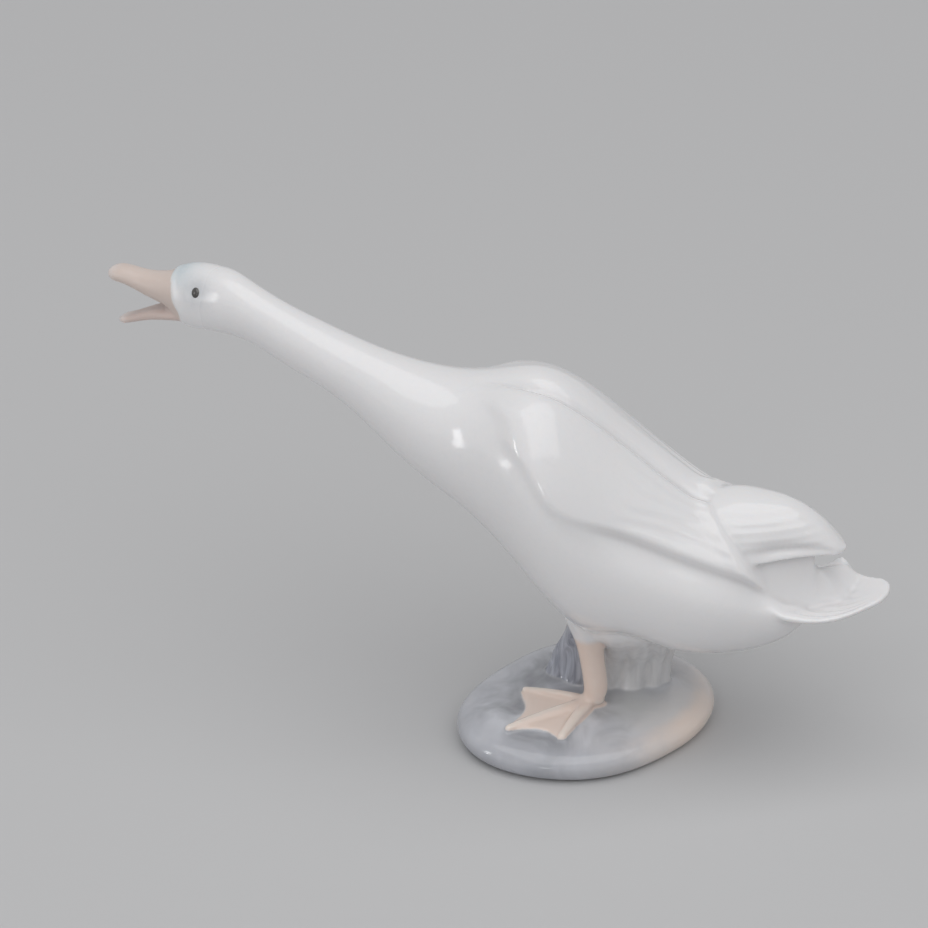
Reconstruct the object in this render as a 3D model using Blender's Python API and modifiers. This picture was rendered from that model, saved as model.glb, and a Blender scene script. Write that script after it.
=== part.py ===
# Goose figurine, slip-cast in one piece of glazed porcelain on a pebble-shaped base.
# Frame: origin at the middle of the underside, +Z up, +X towards the tail,
# -Y towards the goose's own left side. Lengths below are millimetres.
import math

import bmesh
import bpy
import numpy as np

MM = 0.001
NAME = "goose_figurine"

# Driving dimensions.
HEAD_X = -104.0
HEAD_Y = 27.0
HEAD_TURN = math.radians(20.5)
TRUNK_FRONT = HEAD_X - 12.5
TRUNK_REAR = 60.0
RIDGE_TIP = 66.8
TAIL_TIP = 78.2
BASE_RADIUS = 30.8
BASE_STRETCH = 3.3
BASE_STRETCH_TURN = math.radians(40.0)
BASE_RIM_Z = 4.0
WING_STEP = 1.9
BACK_GROOVE = 2.6
BELLY_LIFT = 4.6
FEATHER_GROOVE = 0.8
LEG_TOP_RADIUS = 3.7
LEG_LOW_RADIUS = 3.1
TOE_RADIUS = 1.35
VOXEL = 0.62
TRIANGLES = 11600


def spline(stations):
    """Natural cubic through (x, value) stations, as a function of an array."""
    xs = np.array([s[0] for s in stations], float)
    ys = np.array([s[1] for s in stations], float)
    n = len(xs)
    h = np.diff(xs)
    a = np.zeros((n, n))
    b = np.zeros(n)
    a[0, 0] = 1.0
    a[-1, -1] = 1.0
    for i in range(1, n - 1):
        a[i, i - 1] = h[i - 1]
        a[i, i] = 2 * (h[i - 1] + h[i])
        a[i, i + 1] = h[i]
        b[i] = 6 * ((ys[i + 1] - ys[i]) / h[i] - (ys[i] - ys[i - 1]) / h[i - 1])
    m = np.linalg.solve(a, b)

    def value(x):
        x = np.clip(np.asarray(x, float), xs[0], xs[-1])
        i = np.clip(np.searchsorted(xs, x, side="right") - 1, 0, n - 2)
        p = xs[i + 1] - x
        q = x - xs[i]
        w = h[i]
        return (
            m[i] * p**3 / (6 * w)
            + m[i + 1] * q**3 / (6 * w)
            + (ys[i] / w - m[i] * w / 6) * p
            + (ys[i + 1] / w - m[i + 1] * w / 6) * q
        )

    return value


def ramp(x, low, high):
    t = np.clip((np.asarray(x, float) - low) / (high - low), 0.0, 1.0)
    return t * t * (3 - 2 * t)


def end_round(x, end, length):
    """1 inside, falling to 0 at the end like a circle's quadrant."""
    t = np.clip(1 - np.abs(np.asarray(x, float) - end) / length, 0.0, 1.0)
    return np.sqrt(np.maximum(1 - t * t, 0.0))


def spaced(start, stop, count):
    """Values bunched towards both ends, for rounded ends."""
    t = 0.5 - 0.5 * np.cos(np.linspace(0, math.pi, count))
    return start + (stop - start) * t


shells = []


def loft(rings):
    """Closed skin over an array of rings (rings, points, 3), fans at both ends."""
    rings = np.asarray(rings, float)
    count, around = rings.shape[:2]
    first = rings[0].mean(axis=0)
    last = rings[-1].mean(axis=0)
    shells.append((np.concatenate([rings.reshape(-1, 3), [first, last]]), count, around))


def build_shells():
    """One mesh that holds every shell, each with outward faces."""
    whole = bmesh.new()
    for points, count, around in shells:
        part = bmesh.new()
        verts = [part.verts.new(tuple(p * MM)) for p in points]
        low, high = verts[-2], verts[-1]
        for i in range(count - 1):
            for j in range(around):
                k = (j + 1) % around
                a, b = verts[i * around + j], verts[i * around + k]
                c, d = verts[(i + 1) * around + k], verts[(i + 1) * around + j]
                part.faces.new((a, b, c, d))
        for j in range(around):
            k = (j + 1) % around
            part.faces.new((low, verts[k], verts[j]))
            top = (count - 1) * around
            part.faces.new((high, verts[top + j], verts[top + k]))
        bmesh.ops.recalc_face_normals(part, faces=part.faces)
        if part.calc_volume(signed=True) < 0:
            bmesh.ops.reverse_faces(part, faces=part.faces)
        piece = bpy.data.meshes.new("shell")
        part.to_mesh(piece)
        part.free()
        whole.from_mesh(piece)
        bpy.data.meshes.remove(piece)
    mesh = bpy.data.meshes.new(NAME)
    whole.to_mesh(mesh)
    whole.free()
    return mesh


# Trunk: head, neck and body as one skin of upright sections along X.
trunk_y = spline([
    (HEAD_X - 14, HEAD_Y + 5.2), (HEAD_X - 8, HEAD_Y + 3.0), (HEAD_X, HEAD_Y), (HEAD_X + 7, HEAD_Y - 3.0),
    (-90, 20.5), (-82, 16.7),
    (-72, 12.8), (-62, 9.3), (-52, 6.4), (-42, 4.7), (-32, 2.8), (-22, -0.6),
    (-12, -3.7), (-2, -3.2), (8, -1.4), (18, -0.6), (28, -0.6), (38, -0.5), (60, -0.4),
])
trunk_z = spline([
    (HEAD_X - 14, 102.0), (HEAD_X - 8, 102.4), (HEAD_X, 103.5), (HEAD_X + 7, 104.4), (-90, 103.5),
    (-82, 101.2), (-72, 98.4), (-62, 94.9), (-52, 90.1), (-42, 85.6), (-32, 82.8),
    (-22, 81.2), (-12, 77.5), (-2, 69.3), (8, 60.6), (18, 55.7), (28, 52.6),
    (38, 50.4), (48, 48.2), (54, 46.6), (60, 45.4),
])
trunk_h = spline([
    (HEAD_X - 14, 7.0), (HEAD_X - 8, 7.9), (HEAD_X, 8.9), (HEAD_X + 7, 8.7), (-90, 7.9), (-82, 7.9),
    (-72, 8.3), (-62, 9.6), (-52, 12.4), (-42, 15.1), (-32, 17.9), (-22, 23.0),
    (-12, 29.3), (-2, 33.0), (8, 32.3), (18, 27.8), (28, 23.4), (38, 20.4),
    (48, 15.6), (54, 10.8), (60, 7.2),
])
trunk_w = spline([
    (HEAD_X - 14, 6.0), (HEAD_X - 8, 7.2), (HEAD_X, 7.9), (HEAD_X + 7, 7.7), (-90, 7.1), (-82, 7.1),
    (-72, 7.8), (-62, 8.7), (-52, 10.6), (-42, 13.6), (-32, 17.0), (-22, 20.6),
    (-12, 23.6), (-2, 25.5), (8, 26.0), (18, 25.2), (28, 23.2), (38, 20.4),
    (48, 16.0), (54, 13.0), (60, 9.5),
])

# Lines on the flank, as angle round the section (90 is the top, 180 the near side).
wing_edge = spline([
    (-6, 163), (2, 157.5), (8, 152), (14, 148), (22, 145.5), (30, 145), (38, 147),
    (45.5, 149.5), (50, 151),
])
wing_rear = spline([(88, 33), (100, 33), (106, 33.5), (120, 37), (133, 40.5), (145, 44), (152, 47)])
wing_front = spline([(95, -24), (120, -22), (133, -18), (145, -16), (151, -12.5), (158, -9), (166, -5)])
FEATHERS = [
    spline([(24, 109), (30, 107.5), (34, 108)]),
    spline([(17, 123), (24, 118), (30, 115.5), (36, 119)]),
    spline([(14, 136), (20, 130.5), (26, 126), (32, 126), (39, 131.5)]),
    spline([(6, 150), (13, 143), (19, 138), (26, 134.5), (33, 134.5), (41, 139)]),
]


def flank_offset(x, deg, w, h):
    """How far the carved surface stands off the plain section, in millimetres."""
    arc = math.radians(1.0) * 0.5 * (w + h)
    rear_x = wing_rear(np.clip(deg, 88, 152))
    front_x = wing_front(np.clip(deg, 95, 166))
    inside_rear = 1 - ramp(x, rear_x - 0.2, rear_x + 1.4)
    inside_front = ramp(x, front_x - 5.0, front_x + 3.0)
    below = (deg - wing_edge(x)) * arc
    inside_edge = 1 - ramp(below, -0.2, 1.4)
    growth = ramp(x, -12, 14)
    wing = inside_rear * inside_front * inside_edge
    step = WING_STEP * (0.35 + 0.65 * growth)
    lip = 0.8 * np.exp(-(((x - rear_x + 1.9) / 1.9) ** 2)) * inside_edge * (deg > 92)
    value = wing * 0.12 * step + lip * growth
    shoulder = ramp(deg, 104, 122) * (1 - ramp(deg, 142, 158))
    value = value + 0.35 * shoulder * np.exp(-(((x - front_x - 1.0) / 3.2) ** 2))
    value = value - 0.4 * shoulder * np.exp(-(((x - front_x + 6.0) / 4.2) ** 2))
    hollow = ramp(below, -0.5, 1.6) * np.exp(-(((below - 1.6) / 6.5) ** 2)) * growth
    value = value - hollow * 0.85 * step * (1 - ramp(x, 46, 52))
    value = value - 0.5 * step * ramp(x, rear_x, rear_x + 2.0) * inside_edge
    for line in FEATHERS:
        away = (deg - line(x)) * arc
        reach = ramp(x, 6, 18) * inside_rear * (1 - ramp(x, rear_x - 3.5, rear_x - 1.5))
        value = value - FEATHER_GROOVE * np.exp(-((away / 0.85) ** 2)) * reach
    return value


def trunk_rings(along, around):
    xs = spaced(TRUNK_FRONT, TRUNK_REAR, along)
    xs = np.unique(np.concatenate([xs, np.linspace(-30, 52, along // 2)]))
    turn = np.linspace(0, 2 * math.pi, around, endpoint=False)
    deg = np.degrees(turn)
    mirrored = np.where(deg > 270, 540 - deg, np.where(deg < 90, 180 - deg, deg))
    rings = []
    for x in xs:
        close = end_round(x, TRUNK_FRONT, 10.5) * end_round(x, TRUNK_REAR, 9.0)
        w = float(trunk_w(x)) * close
        h = float(trunk_h(x)) * close
        away = (deg - (96.0 + 4.0 * ramp(x, -30, -10) * (1 - ramp(x, -4, 18)))) * math.radians(1)
        away = away * 0.5 * (w + h)
        groove = ramp(x, -33, -12) * (1 - ramp(x, 30, 37))
        off = -BACK_GROOVE * groove / (1 + (away / 2.1) ** 2)
        off = off - 0.5 * groove * np.exp(-((away / 0.8) ** 2))
        off = off + flank_offset(np.full(around, x), mirrored, w, h) * (x > -40)
        hollow = math.exp(-(((x - 12) / 10) ** 2)) * np.exp(-(((deg - 238) / 30) ** 2))
        off = off - BELLY_LIFT * hollow
        upper = ramp(np.sin(turn), 0.0, 0.5) * ramp(x, 42, 54)
        y = float(trunk_y(x)) + (w * (1 - 0.35 * upper) + off) * np.cos(turn)
        z = float(trunk_z(x)) + (h * (1 - (0.65 + 0.3 * float(ramp(x, 46, 54))) * upper) + off) * np.sin(turn)
        rings.append(np.stack([np.full(around, x), y, z], axis=1))
    return np.array(rings)


loft(trunk_rings(230, 260))

# Bill: two halves that open from the front of the head, laid out along the head's own line.
forward = np.array([-math.cos(HEAD_TURN), math.sin(HEAD_TURN), 0.0])
sideways = np.array([math.sin(HEAD_TURN), math.cos(HEAD_TURN), 0.0])
upper_z = spline([(4, 103.1), (10, 103.0), (15.5, 102.6), (19.6, 102.8), (23.8, 103.2), (28.9, 102.6)])
upper_h = spline([(4, 6.6), (8, 5.5), (10, 4.9), (15.5, 3.65), (19.4, 3.0), (23.8, 2.5), (28.9, 2.1)])
upper_w = spline([(4, 6.6), (8, 5.6), (10, 5.1), (15.5, 3.9), (19.4, 3.35), (23.8, 3.2), (28.9, 3.0)])
lower_z = spline([(2, 99.0), (8, 97.1), (12, 95.7), (15, 94.5), (19.8, 92.1), (23.8, 90.2), (25.9, 89.5)])
lower_h = spline([(2, 2.6), (8, 2.1), (12, 1.95), (15, 1.85), (19.8, 1.6), (23.8, 1.4), (26.0, 1.3)])
lower_w = spline([(2, 5.6), (8, 4.9), (12, 4.2), (15, 3.5), (19.8, 2.6), (23.8, 2.3), (25.9, 2.2)])


def bill_half(zc, hh, ww, start, stop, tip, hollow):
    """Spatulate half bill; hollow sinks the face that meets the other half."""
    turn = np.linspace(0, 2 * math.pi, 64, endpoint=False)
    rings = []
    for u in spaced(start, stop, 56):
        close = float(end_round(u, stop, tip))
        z, h, w = float(zc(u)), float(hh(u)) * close**0.8, float(ww(u)) * close
        side = w * np.cos(turn)
        up = h * np.sin(turn)
        inner = np.exp(-((side / max(0.55 * w, 0.05)) ** 2))
        facing = np.maximum(np.sin(turn) * (1 if hollow > 0 else -1), 0.0)
        up = up - hollow * inner * facing * ramp(h, 0.2, 1.2)
        base = np.array([HEAD_X, HEAD_Y, z]) + forward * u
        rings.append(base + sideways * side[:, None] + np.array([0, 0, 1.0]) * up[:, None])
    loft(rings)


bill_half(upper_z, upper_h, upper_w, 3.0, 28.9, 3.6, -0.9)
bill_half(lower_z, lower_h, lower_w, 1.0, 26.0, 2.4, 0.7)

# Eyes: small raised drops of enamel, one each side of the head.
EYE_U = -0.65
EYE_Z = 108.0
EYE_OUT = 6.75
EYE_HALF = 1.1


def ball(centre, radii, count=20):
    rings = []
    turn = np.linspace(0, 2 * math.pi, 2 * count, endpoint=False)
    for lat in np.linspace(-math.pi / 2 + 0.05, math.pi / 2 - 0.05, count):
        ring = np.stack([
            radii[0] * math.cos(lat) * np.cos(turn),
            radii[1] * math.cos(lat) * np.sin(turn),
            np.full(2 * count, radii[2] * math.sin(lat)),
        ], axis=1)
        rings.append(np.asarray(centre) + ring)
    loft(rings)


for side in (-1, 1):
    eye = np.array([HEAD_X, HEAD_Y, EYE_Z]) + forward * EYE_U + sideways * side * EYE_OUT
    ball(eye, (EYE_HALF * 1.1, EYE_HALF * 1.1, EYE_HALF * 1.35))

# Folded flight feathers: a roof-shaped spur over the tail, open below at the rear.
spur_ridge = spline([(28, 70.4), (31, 72.6), (34, 74.0), (38, 74.9), (42, 74.9), (46, 74.5), (50.6, 73.8),
                     (54.5, 72.4), (58.4, 70.0), (61.8, 67.0), (64.4, 64.0), (RIDGE_TIP, 61.2)])
spur_half = spline([(28, 12.6), (34, 13.0), (40, 12.7), (44, 12.0), (50, 10.0), (55, 8.2), (59, 6.7),
                    (62.5, 5.2), (65, 3.8), (RIDGE_TIP, 2.3)])
spur_low = spline([(28, 58.6), (40, 60.4), (50, 61.6), (60, 61.9), (RIDGE_TIP, 60.9)])
QUILLS = [64.0 + 2.0 * i for i in range(5)]


def spur_rings(along, around):
    turn = np.linspace(0, 2 * math.pi, around, endpoint=False)
    rings = []
    for x in spaced(28.0, RIDGE_TIP, along):
        close = float(end_round(x, RIDGE_TIP, 2.2))
        rise = (float(spur_ridge(x)) - float(spur_low(x))) * close
        half = float(spur_half(x)) * close
        low = float(spur_low(x)) + 0.4 * (1 - close)
        c, s = np.cos(turn), np.sin(turn)
        side = half * np.sign(c) * np.abs(c) ** 0.9
        up = np.where(s > 0, rise * np.abs(s) ** 1.05, -1.3 * close * np.abs(s))
        frac = np.clip(up / max(rise, 0.1), 0, 1)
        valley = np.exp(-(((frac - 0.2) / 0.13) ** 2)) * (s > 0)
        squeeze = 1 - 0.14 * valley * ramp(x, 40, 50)
        fine = np.zeros(around)
        for quill in QUILLS:
            away = low + up - quill - 0.03 * (x - 45)
            fine += np.exp(-((away / 0.55) ** 2)) * (s > 0)
        reach = ramp(x, 30, 40) * (1 - ramp(x, 58, 65)) * ramp(np.abs(side), 1.0, 4.0)
        side = side * squeeze
        side = side - np.sign(side) * 0.6 * FEATHER_GROOVE * fine * reach
        y = -0.5 + side
        rings.append(np.stack([np.full(around, x), y, low + up], axis=1))
    return np.array(rings)


loft(spur_rings(90, 200))

# Tail fan: a dished leaf-shaped plate with a rolled near edge and a turned-up far lobe.
near_y = spline([(40, -11.0), (44, -12.8), (47.5, -14.2), (51.2, -15.3), (56.4, -15.6), (61.4, -15.0),
                 (67.6, -13.0), (73.8, -8.6), (76.5, -6.2), (TAIL_TIP, -4.6)])
near_z = spline([(40, 50.0), (47.5, 49.2), (51.2, 47.9), (56.4, 47.2), (61.4, 47.1), (67.6, 47.8),
                 (73.8, 48.8), (TAIL_TIP, 49.2)])
far_y = spline([(40, 13.0), (50, 13.2), (58, 12.0), (63, 10.7), (65.6, 9.8), (68, 8.6), (73.0, 6.2),
                (TAIL_TIP, 4.0)])
far_z = spline([(40, 45.0), (52, 45.4), (58, 46.6), (62, 49.0), (64.2, 50.9), (65.8, 50.5), (67.6, 48.2),
                (70, 47.7), (73.5, 48.3), (TAIL_TIP, 49.2)])
fan_thick = spline([(40, 6.0), (50, 4.2), (58, 3.1), (66, 2.7), (TAIL_TIP, 2.5)])
fan_sag = spline([(40, 1.0), (50, 2.0), (60, 3.0), (68, 2.6), (75, 1.2), (TAIL_TIP, 0.4)])

# Rump: a cove that sweeps from the near side of the dish up to the underside of the spur.
COVE_X = 59.8
COVE_TOP = 61.8


def fan_rings(along, around):
    """Each ring runs over the top from the near edge to the far edge and back below."""
    half = around // 2
    s = 0.5 - 0.5 * np.cos(np.linspace(0, math.pi, half + 1))
    rings = []
    for x in spaced(40.0, TAIL_TIP, along):
        close = float(end_round(x, TAIL_TIP, 2.6))
        yn, zn, yf, zf = float(near_y(x)), float(near_z(x)), float(far_y(x)), float(far_z(x))
        ym, zm = 0.5 * (yn + yf), 0.5 * (zn + zf)
        yn, yf = ym + (yn - ym) * close, ym + (yf - ym) * close
        zn, zf = zm + (zn - zm) * close, zm + (zf - zm) * close
        y = yn + (yf - yn) * s
        curl = ramp(s, 0.62, 1.0)
        z = zn + (zf - zn) * curl - float(fan_sag(x)) * 4 * s * (1 - s)
        thick = float(fan_thick(x)) * (0.35 + 0.65 * close)
        bulb = np.sqrt(np.maximum(4 * s * (1 - s), 0.0)) ** 0.6
        grain = np.zeros(len(s))
        for i in range(5):
            place = 0.14 + 0.125 * i
            grain += np.exp(-(((s - place) / 0.026) ** 2))
        grain = grain * 0.5 * ramp(x, 46, 54) * (1 - ramp(x, 70, 77))
        top = z + 0.5 * thick * bulb - grain
        across = ((x - COVE_X) * 13.0 - (y + 3.0) * 6.0) / 14.3
        near = 1 - ramp(y, -6.0, -2.0)
        across = across + near * (x - COVE_X + 16.0 * ramp(-y, 3.0, 13.5) - across)
        slit = ramp(x + 0.16 * y, COVE_X - 2.2, COVE_X - 0.4)
        sill = 36.5 - 0.583 * y + 0.286 * x
        wall_top = COVE_TOP + slit * np.minimum(sill - COVE_TOP, 0.0)
        rise = np.maximum(wall_top - top, 0.0) * ramp(np.minimum(y - yn, yf - y), -1.0, 3.0)
        top = top + rise * (1 - ramp(across, -0.5 - 5.5 * near, 6.5 - near))
        low = z - 0.5 * thick * bulb
        over = np.stack([np.full(half + 1, x), y, top], axis=1)
        under = np.stack([np.full(half + 1, x), y, low], axis=1)[::-1][1:-1]
        rings.append(np.concatenate([over, under]))
    return np.array(rings)


loft(fan_rings(90, 140))


# Tubes: legs and toes.
def tube(points, radii, around=28, steps=26):
    """Round bar along a smooth path, with rounded ends."""
    points = np.asarray(points, float)
    t = np.linspace(0, 1, len(points))
    px, py, pz = (spline(list(zip(t, points[:, k]))) for k in range(3))
    rad = spline(list(zip(t, radii)))
    rings = []
    turn = np.linspace(0, 2 * math.pi, around, endpoint=False)
    total = np.linalg.norm(np.diff(points, axis=0), axis=1).sum()
    for v in spaced(0, 1, steps):
        here = np.array([px(v), py(v), pz(v)], float)
        d = np.array([px(min(v + 0.01, 1)), py(min(v + 0.01, 1)), pz(min(v + 0.01, 1))], float)
        d = d - np.array([px(max(v - 0.01, 0)), py(max(v - 0.01, 0)), pz(max(v - 0.01, 0))], float)
        d = d / np.linalg.norm(d)
        aside = np.cross(d, [0.0, 0.0, 1.0])
        if np.linalg.norm(aside) < 0.2:
            aside = np.cross(d, [1.0, 0.0, 0.0])
        aside = aside / np.linalg.norm(aside)
        lift = np.cross(aside, d)
        r = float(rad(v))
        edge = min(v, 1 - v) * total
        r = r * math.sqrt(max(1 - max(1 - edge / r, 0.0) ** 2, 0.0))
        ring = here + r * (aside * np.cos(turn)[:, None] + lift * np.sin(turn)[:, None])
        rings.append(ring)
    loft(rings)


def web(corners, thick):
    """Thin sheet between toes: four corners in order, sunk in the middle."""
    a, b, c, d = (np.asarray(p, float) for p in corners)
    rings = []
    for v in np.linspace(0, 1, 14):
        left = a + (d - a) * v
        right = b + (c - b) * v
        u = np.linspace(0, 1, 14)
        line = left + (right - left) * u[:, None]
        sink = 4 * u * (1 - u)
        line[:, 2] -= 0.3 * sink
        inward = (0.5 * (a + b) - 0.5 * (c + d))
        line = line + inward * (0.16 * sink * v)[:, None]
        top = line + np.array([0, 0, 0.55])
        low = line - np.array([0, 0, thick])
        rings.append(np.concatenate([top, low[::-1]]))
    loft(rings)


def foot(heel, tips, hind):
    heel = np.asarray(heel, float)
    tips = [np.asarray(t, float) for t in tips]
    for tip in tips:
        mid = 0.5 * (heel + tip) + np.array([0, 0, 0.5])
        tube([heel, mid, tip], [TOE_RADIUS * 1.35, TOE_RADIUS * 1.05, TOE_RADIUS * 0.75])
    tube([heel, hind], [TOE_RADIUS * 1.2, TOE_RADIUS * 0.8])
    for first, second in zip(tips, tips[1:]):
        web([heel, heel + (second - first) * 0.02, second * 0.97 + heel * 0.03,
             first * 0.97 + heel * 0.03], 2.4)


tube([(-0.2, -9.0, 45.0), (0.8, -8.0, 38.0), (1.7, -6.8, 30.0), (2.7, -5.9, 21.0), (3.2, -5.5, 14.5),
      (2.2, -6.0, 10.6)],
     [6.0, 5.2, LEG_TOP_RADIUS, 3.2, LEG_LOW_RADIUS, 2.8])
foot((1.6, -6.4, 10.6), [(-16.6, -2.2, 9.9), (-18.2, -20.6, 9.4), (-3.6, -22.9, 9.5)], (5.6, -4.2, 10.1))
tube([(7.0, 9.5, 38.0), (8.0, 11.0, 30.0), (10.0, 13.0, 20.0), (11.0, 14.0, 14.0), (10.5, 14.5, 10.6)],
     [5.6, LEG_TOP_RADIUS, 3.2, LEG_LOW_RADIUS, 2.8])
foot((10.2, 14.6, 10.6), [(-4.5, 20.5, 9.9), (5.0, 27.0, 9.3), (17.0, 26.5, 9.4)], (13.0, 11.5, 10.1))

# Support: a fluted mound that carries the belly behind the legs.
support_x = spline([(4, 4.0), (9.5, 4.3), (13, 5.0), (17, 5.9), (22, 7.5), (28, 8.6), (34, 9.4), (40, 10.4),
                    (44, 11.0)])
support_rx = spline([(4, 18.5), (9.5, 16.6), (13, 16.0), (17, 15.6), (22, 15.0), (28, 14.4), (34, 14.2),
                     (40, 13.6), (44, 12.5)])
support_ry = spline([(4, 9.0), (9.5, 7.4), (13, 6.8), (17, 7.0), (22, 8.4), (26, 10.2), (30, 12.8), (34, 15.2),
                     (40, 16.8), (44, 16.5)])
support_y = spline([(4, 9.0), (13, 8.9), (17, 8.5), (22, 7.2), (26, 5.6), (30, 3.9), (34, 2.5), (40, 1.2),
                    (44, 0.6)])
FLUTES = [(-105, 5.5, 1.6), (-78, 4.5, 1.1), (-140, 9.0, 1.0), (-48, 6.0, 1.2), (-22, 6.0, 0.9),
          (20, 8.0, 1.0), (55, 8.0, 1.3), (95, 8.0, 1.3), (135, 8.0, 1.2), (172, 7.0, 0.8)]


def support_rings():
    turn = np.linspace(-math.pi, math.pi, 220, endpoint=False)
    deg = np.degrees(turn)
    rings = []
    for z in np.linspace(4.0, 44.0, 60):
        flute = np.zeros(len(turn))
        for place, wide, deep in FLUTES:
            away = (deg - place + 180) % 360 - 180
            flute -= deep * np.exp(-((away / wide) ** 2))
        flute = flute * ramp(z, 6, 11) * (1 - ramp(z, 26, 36))
        x = float(support_x(z)) + (float(support_rx(z)) + flute) * np.cos(turn)
        y = float(support_y(z)) + (float(support_ry(z)) + flute) * np.sin(turn)
        rings.append(np.stack([x, y, np.full(len(turn), z)], axis=1))
    return rings


loft(support_rings())

# Base: a smooth oval pebble, cut flat below.
base_profile = [(0.80, -2.0), (0.88, -0.4), (0.95, 0.9), (0.985, 2.3), (1.0, 4.1), (0.985, 5.7), (0.945, 7.1),
                (0.875, 8.1), (0.76, 8.7), (0.6, 9.0), (0.4, 9.2), (0.2, 9.3), (0.05, 9.35)]


def base_rings():
    turn = np.linspace(0, 2 * math.pi, 180, endpoint=False)
    outline = BASE_RADIUS + BASE_STRETCH * np.cos(2 * (turn - BASE_STRETCH_TURN))
    outline = outline + 0.3 * np.cos(3 * turn + 0.5) + 0.65 * np.sin(4 * turn)
    outline = outline + 0.6 * np.exp(-(((turn - math.radians(222)) / 0.45) ** 2))
    t = np.arange(len(base_profile), dtype=float)
    part = spline([(a, p[0]) for a, p in zip(t, base_profile)])
    level = spline([(a, p[1]) for a, p in zip(t, base_profile)])
    rings = []
    for v in np.linspace(0, t[-1], 60):
        r = outline * float(part(v))
        z = np.full(len(turn), float(level(v)))
        rings.append(np.stack([r * np.cos(turn), 0.3 + r * np.sin(turn), z], axis=1))
    return rings


loft(base_rings())

# Scene: clear it, join the shells into one skin, and cut the underside flat.
for old in list(bpy.data.objects):
    bpy.data.objects.remove(old, do_unlink=True)
goose_set = bpy.data.collections.new(NAME)
cutter_set = bpy.data.collections.new("cutters")
bpy.context.scene.collection.children.link(goose_set)
bpy.context.scene.collection.children.link(cutter_set)
cutter_set.hide_render = True

bpy.ops.mesh.primitive_cube_add(size=1.0, location=(0, 0, -0.01))
cutter = bpy.context.active_object
cutter.name = "underside_cut"
cutter.scale = (0.2, 0.2, 0.02)
for owner in list(cutter.users_collection):
    owner.objects.unlink(cutter)
cutter_set.objects.link(cutter)
cutter.hide_render = True
cutter.display_type = "WIRE"

goose = bpy.data.objects.new(NAME, build_shells())
goose_set.objects.link(goose)
porcelain = bpy.data.materials.new("glazed_porcelain")
porcelain.use_nodes = True
shader = porcelain.node_tree.nodes["Principled BSDF"]
shader.inputs["Base Color"].default_value = (0.82, 0.82, 0.84, 1.0)
shader.inputs["Roughness"].default_value = 0.12
goose.data.materials.append(porcelain)

skin = goose.modifiers.new("one_skin", "REMESH")
skin.mode = "VOXEL"
skin.voxel_size = VOXEL * MM
glaze = goose.modifiers.new("soft_edges", "SMOOTH")
glaze.factor = 0.5
glaze.iterations = 3
graph = bpy.context.evaluated_depsgraph_get()
full = goose.evaluated_get(graph).to_mesh()
full.calc_loop_triangles()
count = len(full.loop_triangles)
goose.evaluated_get(graph).to_mesh_clear()
thin = goose.modifiers.new("fewer_faces", "DECIMATE")
thin.ratio = min(1.0, TRIANGLES / count)
flat = goose.modifiers.new("flat_underside", "BOOLEAN")
flat.operation = "DIFFERENCE"
flat.solver = "EXACT"
flat.object = cutter
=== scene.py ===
# Goose figurine in glazed porcelain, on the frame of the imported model.
# Lengths in the sections below are millimetres until a mesh is written, which is in metres.
import math

import bmesh
import bpy
import numpy as np
from mathutils import Matrix, Vector
from mathutils.bvhtree import BVHTree
from mathutils.kdtree import KDTree


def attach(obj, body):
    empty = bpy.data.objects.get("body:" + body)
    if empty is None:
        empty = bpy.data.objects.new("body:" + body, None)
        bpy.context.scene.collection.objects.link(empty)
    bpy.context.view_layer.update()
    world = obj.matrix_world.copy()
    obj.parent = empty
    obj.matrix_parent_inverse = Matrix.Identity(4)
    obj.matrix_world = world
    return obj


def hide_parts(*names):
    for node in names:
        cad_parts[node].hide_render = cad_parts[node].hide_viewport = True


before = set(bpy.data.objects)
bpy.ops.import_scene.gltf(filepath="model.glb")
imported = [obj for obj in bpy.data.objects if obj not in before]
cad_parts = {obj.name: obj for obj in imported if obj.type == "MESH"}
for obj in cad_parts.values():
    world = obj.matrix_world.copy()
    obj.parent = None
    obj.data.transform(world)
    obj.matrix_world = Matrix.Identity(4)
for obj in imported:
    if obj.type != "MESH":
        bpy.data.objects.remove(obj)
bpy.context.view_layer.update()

MM = 0.001


# Camera: a long lens that looks down on the goose's left side from about 2.2 m away.
VIEW_TURN = math.radians(9.0)
VIEW_TILT = math.radians(32.0)
VIEW_FROM = (0.252837, -1.799119, 1.214341)
PICTURE_SIDE_PX = 928
FOCAL_PX = 8400.0

to_right = Vector((math.cos(VIEW_TURN), math.sin(VIEW_TURN), 0.0))
ahead = Vector((-math.sin(VIEW_TURN) * math.cos(VIEW_TILT), math.cos(VIEW_TURN) * math.cos(VIEW_TILT),
                -math.sin(VIEW_TILT)))
upward = to_right.cross(ahead)
camera_data = bpy.data.cameras.new("camera")
camera_data.sensor_width = 36.0
camera_data.lens = FOCAL_PX / PICTURE_SIDE_PX * camera_data.sensor_width
camera_data.clip_start = 0.05
camera_data.clip_end = 60.0
camera = bpy.data.objects.new("camera", camera_data)
camera.matrix_world = Matrix((
    (to_right.x, upward.x, -ahead.x, VIEW_FROM[0]),
    (to_right.y, upward.y, -ahead.y, VIEW_FROM[1]),
    (to_right.z, upward.z, -ahead.z, VIEW_FROM[2]),
    (0.0, 0.0, 0.0, 1.0),
))
bpy.context.scene.collection.objects.link(camera)
bpy.context.scene.camera = camera


# Head, neck and body: slip-cast porcelain in one skin, drawn here as upright sections along
# the length. The wings are carved into its flanks in the mould: a shoulder fold in front,
# a rolled rear edge, a hollow below the lower edge and long feather grooves.
HEAD_X = -104.0
HEAD_Y = 27.0
TRUNK_FRONT = HEAD_X - 12.5
TRUNK_REAR = 60.0
WING_STEP = 1.9
BACK_GROOVE = 2.6
BELLY_LIFT = 4.6
FEATHER_GROOVE = 0.5
FOLD_HEIGHT = 0.85


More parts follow.
